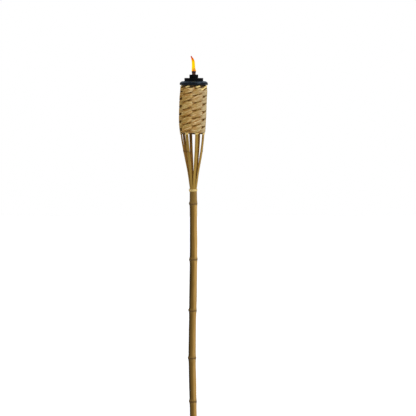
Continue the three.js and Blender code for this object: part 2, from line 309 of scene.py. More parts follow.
class Paint:
    """A Principled material with short calls for the nodes that it uses."""

    def __init__(self, name, **settings):
        self.material = bpy.data.materials.new(name)
        self.material.use_nodes = True
        self.tree = self.material.node_tree
        self.shader = self.tree.nodes["Principled BSDF"]
        for socket, value in settings.items():
            self.shader.inputs[socket.replace("_", " ")].default_value = value

    def node(self, kind, inputs=(), **settings):
        made = self.tree.nodes.new("ShaderNode" + kind)
        for name, value in settings.items():
            setattr(made, name, value)
        for socket, value in dict(inputs).items():
            self.plug(made.inputs[socket], value)
        return made

    def plug(self, socket, value):
        if isinstance(value, bpy.types.NodeSocket):
            self.tree.links.new(value, socket)
        else:
            socket.default_value = value

    def grain(self, scale=(1, 1, 1), shift=(0, 0, 0)):
        """The place in the grain, stretched: x and y across the piece and z along it."""
        place = self.node("Attribute", attribute_name="grain").outputs["Vector"]
        return self.node("Mapping", {"Vector": place, "Scale": scale, "Location": shift}).outputs["Vector"]

    def along(self, name, axis):
        """One axis of the grain, or of the place, which is where the surface is on the torch at rest."""
        vector = self.node("Attribute", attribute_name=name).outputs["Vector"]
        return self.node("SeparateXYZ", {0: vector}).outputs[axis]

    def number(self, name):
        return self.node("Attribute", attribute_name=name).outputs["Fac"]

    def noise(self, vector, detail, roughness, distortion=0.0):
        inputs = {"Vector": vector, "Scale": 1, "Detail": detail, "Roughness": roughness}
        return self.node("TexNoise", {**inputs, "Distortion": distortion}).outputs["Fac"]

    def math(self, operation, a, b=0.0):
        return self.node("Math", {0: a, 1: b}, operation=operation).outputs[0]

    def times(self, a, b):
        return self.math("MULTIPLY", a, b)

    def drift(self, noise, size):
        """A noise as a shift of about size in all, to either side."""
        return self.times(self.math("SUBTRACT", noise, 0.5), size)

    def spread(self, value, low, high, to_low=0.0, to_high=1.0):
        """value from low..high to to_low..to_high, held at the ends."""
        inputs = {"Value": value, "From Min": low, "From Max": high, "To Min": to_low, "To Max": to_high}
        return self.node("MapRange", inputs).outputs[0]

    def ramp(self, value, *stops):
        """A colour from stops (place, colour)."""
        made = self.node("ValToRGB", {"Fac": value})
        set_stops(made.color_ramp, stops)
        return made.outputs["Color"]

    def mix(self, share, a, b, blend="MIX"):
        made = self.node("Mix", data_type="RGBA", blend_type=blend)
        for socket, value in ((made.inputs[0], share), (made.inputs[6], a), (made.inputs[7], b)):
            self.plug(socket, (*value, 1) if isinstance(value, tuple) else value)
        return made.outputs[2]

    def bump(self, height, distance_mm, strength=1.0):
        inputs = {"Height": height, "Distance": distance_mm * MM, "Strength": strength}
        self.plug(self.shader.inputs["Normal"], self.node("Bump", inputs).outputs[0])

    def colour(self, value):
        self.plug(self.shader.inputs["Base Color"], value)

    def roughness(self, value):
        self.plug(self.shader.inputs["Roughness"], value)


def culm_material():
    """Golden-brown bamboo skin with painted shade, deepest at its left edge and fading out on its right:
    fibre streaks, stains, a dark scar at each node and a paler bloom under it."""
    paint = Paint("bamboo_culm", Specular_IOR_Level=0.05)
    fibres = paint.noise(paint.grain((900, 900, 14)), 4, 0.6)
    streaks = paint.noise(paint.grain((300, 300, 6), (3, 1, 0)), 3, 0.55)
    stains = paint.noise(paint.grain((60, 60, 13), (0, 5, 2)), 4, 0.6, 0.6)
    base = paint.ramp(fibres, (0.3, (0.29, 0.165, 0.038)), (0.52, (0.39, 0.235, 0.066)),
                      (0.75, (0.47, 0.3, 0.1)))
    wander = paint.drift(streaks, 0.009)
    drift = paint.drift(stains, 0.006)
    across = paint.math("ADD", paint.along("grain", 0), paint.math("ADD", wander, drift))
    # Painted shade: the culm is darker towards its left side, away from the key light, fading out on its
    # right.
    side_shade = paint.ramp(
        paint.spread(across, -0.011, 0.011), (0.0, (0.06, 0.05, 0.02)), (0.14, (0.16, 0.145, 0.075)),
        (0.3, (0.32, 0.29, 0.18)), (0.52, (0.4, 0.37, 0.26)), (0.64, (0.73, 0.7, 0.62)),
        (0.8, (0.96, 0.96, 1.0)),
    )
    base = paint.mix(1.0, base, side_shade, "MULTIPLY")
    top_tan = paint.spread(paint.along("grain", 2), 0.808, 0.817, 0, 0.64)
    base = paint.mix(top_tan, base, (0.14, 0.083, 0.02))
    foot_tan = paint.spread(paint.along("grain", 2), 0.66, 0.52)
    base = paint.mix(foot_tan, base, (0.87, 0.86, 0.86), "MULTIPLY")
    base = paint.mix(paint.spread(streaks, 0.5, 0.75, 0, 0.45), base, (0.13, 0.07, 0.016))
    base = paint.mix(paint.spread(stains, 0.56, 0.76, 0, 0.35), base, (0.1, 0.055, 0.015))
    gap = paint.number("node_gap")
    gap = paint.math("ADD", gap, paint.drift(streaks, 0.003))
    bloom = paint.times(paint.spread(gap, -0.016, -0.002), paint.spread(gap, 0.0, -0.002))
    base = paint.mix(paint.times(bloom, 0.07), base, (0.42, 0.3, 0.12))
    shade = paint.times(paint.spread(gap, -0.001, 0.0006), paint.spread(gap, 0.009, 0.001))
    base = paint.mix(paint.times(shade, 0.7), base, (0.16, 0.095, 0.026))
    scar = paint.times(paint.spread(gap, -0.0044, -0.0028), paint.spread(gap, 0.0016, 0.0002))
    base = paint.mix(paint.times(scar, paint.spread(stains, 0.35, 0.6, 0.5, 0.85)), base,
                     (0.06, 0.03, 0.01))
    paint.colour(base)
    paint.roughness(paint.spread(stains, 0.3, 0.8, 0.38, 0.55))
    paint.bump(fibres, 0.12, 0.6)
    return paint.material


def splint_material():
    """The same bamboo where it is slit: skin outside, darker and coarser wood on its cut faces, partly
    painted shade, and a near-black painted shadow under the canister's rim."""
    paint = Paint("bamboo_splint", Specular_IOR_Level=0.06)
    fibres = paint.noise(paint.grain((1100, 700, 16)), 4, 0.65)
    streaks = paint.noise(paint.grain((420, 300, 7), (2, 0, 1)), 3, 0.55)
    stains = paint.noise(paint.grain((120, 60, 14), (4, 0, 0)), 3, 0.6)
    base = paint.ramp(fibres, (0.3, (0.17, 0.095, 0.016)), (0.52, (0.27, 0.165, 0.033)),
                      (0.75, (0.37, 0.24, 0.06)))
    base = paint.mix(paint.spread(streaks, 0.5, 0.75, 0, 0.55), base, (0.11, 0.055, 0.012))
    base = paint.mix(paint.spread(stains, 0.55, 0.8, 0, 0.5), base, (0.09, 0.05, 0.014))
    # The cut and inner faces are darker: partly the wood's own colour, partly painted shade on the side
    # turned from the light.
    depth = paint.along("grain", 1)
    inside = paint.spread(depth, -0.0004, -0.0016)
    base = paint.mix(paint.times(inside, 0.6), base, (0.2, 0.075, 0.012))
    gap = paint.number("node_gap")
    shade = paint.times(paint.spread(gap, -0.003, 0.0), paint.spread(gap, 0.006, 0.001))
    base = paint.mix(paint.times(shade, paint.spread(stains, 0.4, 0.65, 0.05, 0.7)), base,
                     (0.06, 0.03, 0.01))
    # Painted shadow: near black above the top cane, under the canister's rim.
    soot_and_rim_shadow = paint.spread(paint.along("place", 2), 1.1725, 1.175, 0, 0.95)
    base = paint.mix(soot_and_rim_shadow, base, (0.012, 0.007, 0.004))
    paint.colour(base)
    paint.roughness(paint.spread(fibres, 0.2, 0.8, 0.45, 0.7))
    paint.bump(fibres, 0.15, 0.7)
    return paint.material


def weave_material():
    """Split bamboo strips: tan and dry, each with its own mix of pale and brown wood, with painted shade on
    the left, the right and the edges, a pale painted highlight far right, and painted shade where they pass
    inside."""
    paint = Paint("bamboo_weave", Specular_IOR_Level=0.05)
    fibres = paint.noise(paint.grain((1500, 1500, 24)), 4, 0.7)
    streaks = paint.noise(paint.grain((520, 300, 9), (1, 2, 0)), 3, 0.6)
    patches = paint.noise(paint.grain((150, 40, 30), (5, 0, 3)), 3, 0.6)
    base = paint.ramp(fibres, (0.28, (0.27, 0.16, 0.05)), (0.5, (0.42, 0.275, 0.105)),
                      (0.75, (0.58, 0.42, 0.2)))
    base = paint.mix(paint.spread(streaks, 0.46, 0.62, 0, 0.8), base, (0.24, 0.11, 0.022))
    base = paint.mix(paint.spread(patches, 0.5, 0.62, 0, 0.85), base, (0.64, 0.5, 0.29))
    base = paint.mix(paint.spread(patches, 0.48, 0.36, 0, 0.85), base, (0.29, 0.14, 0.03))
    tints = paint.noise(paint.grain((130, 60, 26), (0, 7, 9)), 3, 0.6)
    base = paint.mix(paint.spread(tints, 0.52, 0.64, 0, 0.5), base, (0.36, 0.3, 0.12))
    base = paint.mix(paint.spread(tints, 0.46, 0.34, 0, 0.45), base, (0.46, 0.235, 0.095))
    # Painted shade: darker across the right half of the basket.
    right_side_shade = paint.spread(paint.along("place", 0), -0.003, 0.008)
    base = paint.mix(right_side_shade, base, (0.76, 0.73, 0.63), "MULTIPLY")
    # Painted highlight: paler and greyer towards the far right edge, where the key light falls.
    far_right_highlight = paint.spread(paint.along("place", 0), 0.008, 0.03, 0, 0.5)
    base = paint.mix(far_right_highlight, base, (0.4, 0.335, 0.205))
    # Painted shade: olive and darker towards the left side, away from the key light.
    left_side_shade = paint.spread(paint.along("place", 0), 0.002, -0.03)
    base = paint.mix(left_side_shade, base, (0.84, 0.77, 0.52), "MULTIPLY")
    # Painted shade along the strips' edges, where they meet their neighbours.
    edge_shade = paint.math("ABSOLUTE", paint.number("node_gap"))
    base = paint.mix(paint.spread(edge_shade, 0.55, 1.0, 0, 0.55), base, (0.18, 0.085, 0.018))
    # Painted shade, warm and dark, where the strips pass inside the stakes.
    base = paint.mix(paint.spread(paint.number("inside"), 0.1, 0.9, 0, 0.75), base, (0.36, 0.15, 0.022))
    paint.colour(base)
    paint.roughness(paint.spread(fibres, 0.2, 0.8, 0.6, 0.85))
    paint.bump(fibres, 0.25, 0.8)
    return paint.material


def cane_material():
    """Pale peeled cane with faint lengthwise lines, near black with painted shade where it passes inside.
    """
    paint = Paint("pale_cane", Specular_IOR_Level=0.12)
    fibres = paint.noise(paint.grain((1300, 1300, 20)), 3, 0.6)
    patches = paint.noise(paint.grain((160, 160, 40), (2, 2, 0)), 3, 0.6)
    base = paint.ramp(fibres, (0.28, (0.4, 0.27, 0.08)), (0.5, (0.6, 0.44, 0.16)),
                      (0.75, (0.74, 0.58, 0.26)))
    base = paint.mix(paint.spread(patches, 0.5, 0.8, 0, 0.5), base, (0.33, 0.2, 0.055))
    # Painted shade: near black where the cane passes inside the stakes.
    base = paint.mix(paint.spread(paint.number("inside"), 0.2, 0.8, 0, 0.95), base, (0.06, 0.026, 0.006))
    paint.colour(base)
    paint.roughness(paint.spread(fibres, 0.2, 0.8, 0.42, 0.6))
    paint.bump(fibres, 0.1, 0.5)
    return paint.material


def enamel_material(name, gloss, smooth, rough, polished_above=None):
    """Black stove enamel with orange peel, dust and a little brown wear, polished above a height if any."""
    paint = Paint(name, Specular_IOR_Level=gloss)
    peel = paint.noise(paint.grain((700, 700, 700)), 2, 0.5)
    dust = paint.noise(paint.grain((90, 90, 90), (1, 0, 4)), 4, 0.65)
    specks = paint.noise(paint.grain((420, 420, 420), (0, 3, 1)), 3, 0.6)
    base = paint.ramp(dust, (0.35, (0.0012, 0.0013, 0.0016)), (0.8, (0.0035, 0.0037, 0.0045)))
    base = paint.mix(paint.spread(specks, 0.68, 0.76, 0, 0.5), base, (0.02, 0.011, 0.008))
    paint.colour(base)
    if polished_above:
        height = paint.along("grain", 2)
        polish = paint.spread(height, (polished_above - 2.5) * MM, (polished_above + 1) * MM, gloss, 1.0)
        paint.plug(paint.shader.inputs["Specular IOR Level"], polish)
        paint.shader.inputs["Specular Tint"].default_value = (0.55, 0.76, 1.0, 1)
        paint.shader.inputs["IOR"].default_value = 2.2
    paint.roughness(paint.spread(dust, 0.3, 0.8, smooth, rough))
    paint.bump(peel, 0.05, 0.35)
    return paint.material


def steel_material():
    """Tinned steel with soft marks from drawing and oil."""
    paint = Paint("tinned_steel", Metallic=1.0)
    drawn = paint.noise(paint.grain((40, 40, 2500)), 2, 0.5)
    marks = paint.noise(paint.grain((70, 70, 70)), 4, 0.6)
    paint.colour(paint.ramp(marks, (0.3, (0.42, 0.42, 0.41)), (0.75, (0.62, 0.62, 0.6))))
    paint.roughness(paint.spread(marks, 0.3, 0.8, 0.28, 0.5))
    paint.bump(drawn, 0.02, 0.3)
    return paint.material


def rubber_material():
    """Dull black gasket rubber."""
    paint = Paint("gasket_rubber", Specular_IOR_Level=0.3)
    bloom = paint.noise(paint.grain((260, 260, 260)), 4, 0.6)
    paint.colour(paint.ramp(bloom, (0.3, (0.012, 0.012, 0.012)), (0.8, (0.035, 0.034, 0.033))))
    paint.roughness(paint.spread(bloom, 0.3, 0.8, 0.65, 0.85))
    paint.bump(bloom, 0.05, 0.5)
    return paint.material


def wick_material(top):
    """Braided glass fibre: oil-brown where it leaves the collar, charred towards its top."""
    paint = Paint("wick_fibre", Specular_IOR_Level=0.15)
    threads = paint.noise(paint.grain((2600, 2600, 700)), 3, 0.6)
    soot_and_rim_shadow = paint.noise(paint.grain((300, 300, 260), (1, 1, 0)), 3, 0.6)
    height = paint.along("grain", 2)
    height = paint.math("ADD", height, paint.drift(soot_and_rim_shadow, 0.004))
    clean = paint.ramp(threads, (0.3, (0.045, 0.018, 0.012)), (0.75, (0.16, 0.075, 0.055)))
    charred = paint.ramp(threads, (0.35, (0.006, 0.003, 0.004)), (0.8, (0.03, 0.012, 0.014)))
    paint.colour(paint.mix(paint.spread(height, top * MM - 0.009, top * MM - 0.003), clean, charred))
    paint.shader.inputs["Roughness"].default_value = 0.95
    paint.bump(threads, 0.3, 0.8)
    return paint.material


def flame_material(low, high):
    """A small oil flame: rose at the heart of its root, clear yellow round it and up its body, orange on
    its right side, and deep red at its tip."""
    paint = Paint("flame", Base_Color=(0, 0, 0, 1), Roughness=1.0, Specular_IOR_Level=0.0,
                  Emission_Strength=1.0)
    licks = paint.noise(paint.grain((150, 150, 45)), 2, 0.5)
    share = paint.spread(paint.along("grain", 2), low * MM, high * MM)
    share = paint.math("ADD", share, paint.drift(licks, 0.1))
    body = paint.ramp(
        share,
        (0.0, (1.0, 0.62, 0.02)), (0.2, (1.0, 0.72, 0.001)), (0.6, (0.98, 0.66, 0.001)),
        (0.7, (0.94, 0.4, 0.001)), (0.8, (0.84, 0.13, 0.001)), (0.93, (0.6, 0.04, 0.004)),
        (1.0, (0.4, 0.03, 0.05)),
    )
    right = paint.spread(paint.along("grain", 0), 0.0, 0.005, 0, 0.5)
    warm = paint.times(right, paint.spread(share, 0.05, 0.25))
    body = paint.mix(warm, body, (0.94, 0.4, 0.004))
    from_heart = paint.math("ABSOLUTE", paint.math("ADD", paint.along("grain", 0), -0.0005))
    root = paint.times(paint.spread(share, 0.28, 0.02), paint.spread(from_heart, 0.0056, 0.002))
    paint.plug(paint.shader.inputs["Emission Color"], paint.mix(root, body, (0.72, 0.14, 0.045)))
    return paint.material


# ---- Pieces ----
def nearest_node(z):
    """Signed distance from the nearest node below or above, positive above it."""
    return min((z - node for node in NODE_HEIGHTS), key=abs)


def swelling(distance):
    return NODE_SWELL * (0.6 * math.exp(-((distance / 9) ** 2)) + 0.4 * math.exp(-((distance / 3) ** 2)))


def node_profile(distance, knob):
    """A node in detail: a swelling, a knobby ridge, and the groove of the fallen sheath under it."""
    ridge = math.exp(-(((distance - 0.5) / 4) ** 2))
    groove = 0.5 * math.exp(-(((distance + 0.4) / 0.8) ** 2))
    return swelling(distance) + ridge * knob - groove


def pole_piece(material):
    """The culm, bored at its foot and under its slits."""
    shape = Shape()
    sides = 72
    heights = set(spaced(0.6, SLIT_START, 4))
    for node in NODE_HEIGHTS:
        heights |= set(spaced(node - 14, node + 14, 1))
        heights |= set(spaced(node - 3, node + 3.4, 0.4))
    # Stations (radius, height): down the foot's bore, round the foot, up the skin, whose radius varies, and
    # down the top's bore.
    stations = [(CULM_BORE, FOOT_BORE_DEPTH), (CULM_BORE, 0.6), (CULM_BORE + 0.4, 0)]
    stations += [(culm_girth(0) - 0.6, 0)] + [(None, z) for z in sorted(heights)]
    stations += [(CULM_BORE, SLIT_START), (CULM_BORE, SLIT_START - TOP_BORE_DEPTH)]
    rings = []
    for radius, z in stations:
        gap = nearest_node(z)
        points, grain = [], []
        for i in range(sides):
            angle = 360 * i / sides
            sine, cosine = math.sin(math.radians(angle)), math.cos(math.radians(angle))
            reach = radius
            if reach is None:
                # The sheath scar wanders a little round the culm, the culm isn't quite round, and its nodes
                # are knobby on the left.
                scar = gap + 0.7 * math.sin(math.radians(angle) + z // 40)
                uneven = 0.22 * noise.noise(Vector((3 * sine, 3 * cosine, z / 60)))
                reach = culm_girth(z) + SKIN + node_profile(scar, 0.9 - 0.7 * sine) + uneven
            points.append(middle(z) + towards(angle) * reach)
            grain.append((*(towards(angle) * reach).xy, z))
        rings.append(shape.outline(points, grain, gap))
    shape.skin(rings)
    shape.build("bamboo_pole", material, "stand", ["pole"], "bamboo_culm")


def splint_piece(number, material):
    """A strip of the culm's slit top, which spreads into the cone and then stands up as a stake."""
    shape = Shape()
    seed = number + 1
    slit_angle = FIRST_SPLINT_ANGLE + number * 360 / len(STAKE_ANGLES)
    slit_half, slit_half_inner = 3.9, 2.3
    around_node = spaced(SPLINT_NODE_HEIGHT - 8, SPLINT_NODE_HEIGHT + 8, 1)
    heights = sorted(set(spaced(SLIT_START + GAP, SPLINT_TOP, 4)) | set(around_node))
    skin_sides, cut_sides = (-1, -0.85, -0.5, 0, 0.5, 0.85, 1), (0.96, 0.4, -0.4, -0.96)
    rings = []
    for z in heights:
        share = stake_share(z)
        angle = lerp(slit_angle, STAKE_ANGLES[number], splint_twist(z))
        gap = z - SPLINT_NODE_HEIGHT - wobble(seed, 3, 3)
        in_cone = clamp((1035 - z) / 12, 0, 1) * clamp((z - 890) / 60, 0, 1)
        ridge = 0.25 * share * math.exp(-(((gap - 1) / 1.2) ** 2))
        outer = splint_reach(z) + in_cone + 0.4 * swelling(gap) + ridge
        thick = lerp(CULM_RADIUS - CULM_BORE, SPLINT_THICKNESS + 1.8 * in_cone, share)
        thick *= 1 + wobble(z / 30, seed, 0.05)
        half = lerp(slit_half, SPLINT_WIDTH / 2 + 0.7 * in_cone, share)
        half *= 1 + share * wobble(z / 45, seed + 9, 0.09)
        half_inner = lerp(slit_half_inner, SPLINT_WIDTH / 2 - 0.3, share)
        aside = share * wobble(z / 70, seed + 20, 0.5)
        out, across = towards(angle), towards(angle + 90)
        bend = 0.5 * lerp(1 / CULM_BORE, 0.04, share)
        section = [(half * side, -(half * side) ** 2 / (2 * CULM_RADIUS)) for side in skin_sides]
        section[0] = (section[0][0], section[0][1] - 0.3)
        section[-1] = (section[-1][0], section[-1][1] - 0.3)
        section += [(half * 0.97, -thick * 0.55)]
        cut = [half_inner * side for side in cut_sides]
        section += [(side, -thick - bend * side ** 2 * 0.5) for side in cut]
        section += [(-half * 0.97, -thick * 0.55)]
        points = [middle(z) + out * (outer + depth) + across * (side + aside) for side, depth in section]
        grain = [(side + 40 * seed, depth + 0.3, z) for side, depth in section]
        rings.append(shape.outline(points, grain, gap))
    shape.skin(rings)
    name = f"splint_{seed}"
    shape.build(f"bamboo_{name}", material, "stand", [name], "bamboo_culm")


def bar_outlines(shape, path, section_at, seed, inside=None, ring=False):
    """Outlines of a bar along a path on the basket's wall. section_at(i) gives points (out, up) in
    millimetres, and inside says how far the bar is behind the stakes, from 0 to 1, at each point of its
    path. The grain runs along the bar, and node_gap says how near its edges a point is, from 0 to 1."""
    outlines, along = [], 0.0
    count = len(path)
    for i, point in enumerate(path):
        after = path[(i + 1) % count] if ring else path[min(i + 1, count - 1)]
        before = path[i - 1] if ring or i else path[0]
        if i:
            along += (point - path[i - 1]).length
        direction = (after - before).normalized()
        out = wall_normal(point)
        out = (out - direction * out.dot(direction)).normalized()
        up = direction.cross(out)
        section = section_at(i)
        low, high = min(b for _, b in section), max(b for _, b in section)
        outlines.append(shape.outline(
            [point + out * a + up * b for a, b in section],
            [(b + 30 * seed, a, along) for a, b in section],
            inside=inside[i] if inside else 0.0,
        ))
        for k, (_, b) in zip(outlines[-1], section):
            shape.node_gap[k] = abs(2 * b - low - high) / (high - low) / MM
    shape.skin(outlines, ring)


def strand_piece(letter, phase, material):
    """One twining strand: a bundle of split strips that lie side by side outside the stakes and ride up
    on each other where the two strands cross."""
    shape = Shape()
    places = spaced(STRAND_PLACES[0] + phase, STRAND_PLACES[1] + phase, 1 / 16)
    for strip in range(STRIPS):
        seed = strip + 10 * phase + 1
        path, halves, inside = [], [], []
        for place in places:
            beat = math.pi * (place + phase)
            side = in_and_out(beat, 2.5)
            tucked = clamp(-side, 0, 1)
            level, share = row_at(stake_angle(place))
            level += RIBBON_RISE * share * math.asin(0.96 * math.sin(beat)) / math.asin(0.96)
            fullness = math.cos(math.pi * place) ** 2
            strip_width = STRIP_WIDTH * share
            half = strip_width / 2 * (1 + wobble(place * 1.3, seed + 30, 0.16))
            room = share * lerp(BUNDLE_NECK, BUNDLE_WIDTH, fullness) - strip_width
            z = level + (strip / (STRIPS - 1) - 0.5) * room + wobble(place * 0.9, seed, 0.6)
            z = clamp(z, WEAVE_ENDS[0] + half - 2 * tucked, WEAVE_ENDS[1] - half + 5 * tucked)
            belly = lerp(BELLY, RIM_BELLY, clamp((z - 1120) / 50, 0, 1))
            stack = 0.35 * (strip % 2) * (1 - fullness) - 0.15 + belly * (1 - tucked)
            point = among_stakes(place, z, side, RIBBON_THICKNESS)
            path.append(point + wall_normal(point) * stack)
            halves.append(half)
            inside.append(tucked)

        def section_at(i):
            half, thick = halves[i], STRIP_THICKNESS / 2
            tilt = wobble(places[i] * 0.7, seed + 50, 0.25)
            corners = [(thick * 0.7, -half), (thick, -half * 0.6), (thick * 1.15, 0), (thick, half * 0.6),
                       (thick * 0.7, half), (-thick * 0.7, half), (-thick, 0), (-thick * 0.7, -half)]
            return [(a + tilt * b / half, b) for a, b in corners]

        bar_outlines(shape, path, section_at, seed, inside)
    name = f"weave_strand_{letter}"
    shape.build(f"{name}_strips", material, "stand", [name], "bamboo_weave", 50)


def oval_section(thick, tall, sides=12):
    turns = [TAU * k / sides for k in range(sides)]
    return [(thick / 2 * math.cos(t), tall / 2 * math.sin(t)) for t in turns]


def cane_piece(node, cane, material, tail=None):
    """A cane lashed round a rim of the basket: it climbs across each stake in a short stitch and drops back
    inside. The tail is its loose end, outside the weave from one (degrees, height) to another."""
    shape = Shape()
    path, inside = [], []
    places = [k / 32 for k in range(32 * len(STAKE_ANGLES))]
    for place in places:
        stake = round(place)
        apart = (stake_angle(place) - stake_angle(stake)) * TAU / 360 * splint_reach(cane["height"])
        side = math.tanh((cane["stitch"] / 2 - abs(apart)) / 1.5)
        climb = cane["slope"] * apart * math.exp(-((apart / cane["stitch"]) ** 2))
        z = cane["height"] + climb + cane["lift"] * (0.5 - 0.5 * side)
        path.append(among_stakes(place, z, side, cane["thick"]))
        inside.append(0.5 - 0.5 * side)

    def section_at(i):
        grow = 1 + wobble(places[i] * 1.1, cane["seed"], 0.14)
        return oval_section(cane["thick"] * grow, cane["tall"] * grow * (1 + cane["lap"] * inside[i]))

    bar_outlines(shape, path, section_at, cane["seed"], inside, ring=True)
    if tail:
        steps = spaced(0, 1, 1 / 16)
        (near, low), (far, high) = tail
        outer = WEAVE_GAP + RIBBON_THICKNESS + RIM_BELLY + 1.6
        path = []
        for t in steps:
            z = lerp(low, high, t)
            path.append(middle(z) + towards(lerp(near, far, t)) * (splint_reach(z) + outer))

        def tail_section(i):
            taper = lerp(0.6, 1, min(1, 4 * steps[i]))
            return oval_section(2.4 * taper, 5 * taper)

        bar_outlines(shape, path, tail_section, cane["seed"] + 5)
    shape.build(f"{node}_rod", material, "stand", [node], "pale_cane", 60)


def binding_piece(material):
    """Cane wound round the culm under the slits, with its end tucked over the turns at the left."""
    shape = Shape()
    low, high = (corner.z for corner in box("pole_binding"))
    thick, tall, pitch, turns = 1.3, 2.8, 3.1, 1.7
    skin = CULM_RADIUS + SKIN
    start = low + tall / 2
    path = []
    for share in spaced(0, turns, 1 / 40):
        z = start + pitch * share + wobble(share * 2, 4, 0.2)
        path.append(middle(z) + towards(share * 360 - 110) * (skin + thick / 2 + wobble(share * 3, 6, 0.1)))
    bar_outlines(shape, path, lambda i: oval_section(thick, tall, 10), 3)
    tuck = []
    for share in spaced(0, 1, 1 / 14):
        z = lerp(start - 1, high + 0.6, share)
        reach = skin + 0.2 + 1.6 * math.sin(math.pi * share) ** 0.7
        tuck.append(middle(z) + towards(lerp(-98, -76, share)) * reach)
    bar_outlines(shape, tuck, lambda i: oval_section(1.5, 2.6, 8), 8)
    shape.build("pole_binding_cane", material, "stand", ["pole_binding"], "pale_cane", 60)


def flange_piece(material):
    """Pressed canister top: threaded neck, flat shoulder and a rounded rim turned under at its lip."""
    low, high = box("can_flange")
    radius, lip, neck_top = high.x + 0.4, low.z - 1.6, high.z
    bore, neck = NECK_RADIUS - 0.8, NECK_RADIUS
    top = neck_top - 7
    shoulder = radius - 11
    side = lip + 4.4

    def arc(width, height, backwards=False):
        turns = [TAU / 4 * k / 14 for k in range(15)]
        arc_points = [(shoulder + width * math.sin(t), side + height * math.cos(t)) for t in turns]
        return list(reversed(arc_points)) if backwards else arc_points

    outline = [(bore, neck_top - 0.3), (bore + 0.2, neck_top), (neck - 0.2, neck_top),
               (neck, neck_top - 0.3)]
    for bead in (neck_top - 3.2, neck_top - 5.4):
        outline += [(neck, bead + 0.8), (neck + 0.35, bead + 0.4), (neck + 0.45, bead),
                    (neck + 0.35, bead - 0.4), (neck, bead - 0.8)]
    outline += [(neck, top + 0.5), (neck + 0.5, top), (shoulder - 3, top), (shoulder - 2, top + 0.3),
                (shoulder - 1, top)]
    outline += arc(radius - shoulder, top - side)
    outline += [(radius, lip + 1.4), (radius - 0.15, lip + 0.5), (radius - 0.6, lip),
                (radius - 1, lip + 0.3)]
    outline += arc(radius - shoulder - 0.9, top - side - 0.9, backwards=True)
    outline += [(bore, top - 0.9)]
    shape = turned(outline, 128)
    shape.build("canister_flange", material, "canister", ["can_flange"], "black_enamel", 35)


def can_wall_piece(material):
    """Drawn canister wall with hemmed ends, two shallow beads and a locked side seam at the back."""
    low, high = box("can_wall")
    foot, top, outer = low.z, high.z, high.x - 1
    inner = outer - 0.8
    outline = [(inner, foot + 0.4), (inner + 0.4, foot), (outer + 0.4, foot), (outer + 0.9, foot + 0.7),
               (outer + 0.9, foot + 2), (outer, foot + 3.2)]
    for bead in (foot + 12, top - 14):
        outline += [(outer, bead - 1.6), (outer - 0.35, bead - 0.6), (outer - 0.35, bead + 0.6),
                    (outer, bead + 1.6)]
    outline += [(outer, top - 3), (outer + 1, top - 1.6), (outer + 1, top - 0.3), (outer + 0.7, top),
                (inner + 0.2, top), (inner, top - 0.3), (inner, (foot + top) / 2)]

    def seam(radius, degrees):
        return 0.45 * math.exp(-(((degrees - 180) / 3.2) ** 4)) if radius >= outer - 0.5 else 0.0

    shape = turned(outline, 120, ripple=seam)
    shape.build("canister_wall", material, "canister", ["can_wall"], "black_enamel", 35)


def can_bottom_piece(material):
    """Domed canister bottom with a stiffening ring."""
    low, high = box("can_bottom")
    foot, top, rim = low.z, high.z, high.x
    outline = [(0.01, top - 0.9), (12, top - 0.9), (13, top - 1.5), (15, top - 1.5), (16, top - 0.9),
               (rim - 3.4, top - 0.9), (rim - 1.2, foot), (rim - 0.2, foot), (rim, foot + 0.3),
               (rim, foot + 0.8), (rim - 0.7, foot + 0.9), (rim - 3, top), (16.2, top), (15.2, top - 0.6),
               (12.8, top - 0.6), (11.8, top), (0.01, top)]
    shape = turned(outline, 96)
    shape.build("canister_bottom", material, "canister", ["can_bottom"], "black_enamel", 35)


def cap_piece(material):
    """Screw cap: flat top with a pressed ring, fine grip flutes round its side and a rolled lower edge."""
    low, high = box("burner_cap")
    foot, top, radius = low.z, high.z, high.x + 0.8
    side = radius - 0.06
    outline = [(WICK_HOLE, top - 0.15), (WICK_HOLE + 0.2, top), (17.4, top), (18, top - 0.35),
               (19, top - 0.35), (19.6, top), (radius - 1.1, top), (radius - 0.35, top - 0.3),
               (radius - 0.05, top - 1), (radius - 0.05, top - 1.8)]
    outline += [(side, z) for z in spaced(top - 2.2, foot + 2.4, 1)]
    outline += [(radius - 0.3, foot + 1.9), (radius - 0.05, foot + 1.3), (radius, foot + 0.8),
                (radius - 0.2, foot + 0.2), (radius - 0.6, foot), (radius - 1, foot + 0.3),
                (radius - 1, top - 1.2), (radius - 1.4, top - 0.85), (WICK_HOLE, top - 0.85)]

    def flutes(at_radius, degrees):
        return -0.22 * (0.5 - 0.5 * math.cos(math.radians(degrees * FLUTES))) if at_radius == side else 0.0

    shape = turned(outline, 8 * FLUTES, ripple=flutes)
    shape.build("burner_cap_shell", material, "burner", ["burner_cap"], "black_enamel", 40)


def collar_piece(material):
    """The wick's drawn collar with a rolled mouth, seated on the cap."""
    low, high = box("wick_collar")
    foot, top, radius = low.z - GAP, high.z, high.x + 0.9
    outline = [(WICK_HOLE, top - 0.9), (WICK_HOLE, top - 0.3), (WICK_HOLE + 0.3, top), (radius - 1.4, top),
               (radius - 0.6, top - 0.2), (radius - 0.15, top - 0.6), (radius, top - 1.4),
               (radius, foot + 0.9), (radius - 0.1, foot + 0.3), (radius - 0.4, foot),
               (radius - 0.8, foot), (radius - 0.8, top - 1.2), (radius - 1.4, top - 0.9)]
    shape = turned(outline, 96)
    shape.build("wick_collar_shell", material, "burner", ["wick_collar"], "black_enamel", 35)


def tube_outline(bore, low, high, rounding):
    """The outline of a ring or tube between its bore and its box's corners, with rounded edges."""
    corners = [Vector((bore, low.z)), Vector((high.x, low.z)), Vector((high.x, high.z)),
               Vector((bore, high.z))]
    outline = []
    for i, here in enumerate(corners):
        start = here + (corners[i - 1] - here).normalized() * rounding
        end = here + (corners[(i + 1) % 4] - here).normalized() * rounding
        for t in spaced(0, 1, 1 / 4):
            outline.append(start * (1 - t) ** 2 + here * (2 * t * (1 - t)) + end * t * t)
    return outline


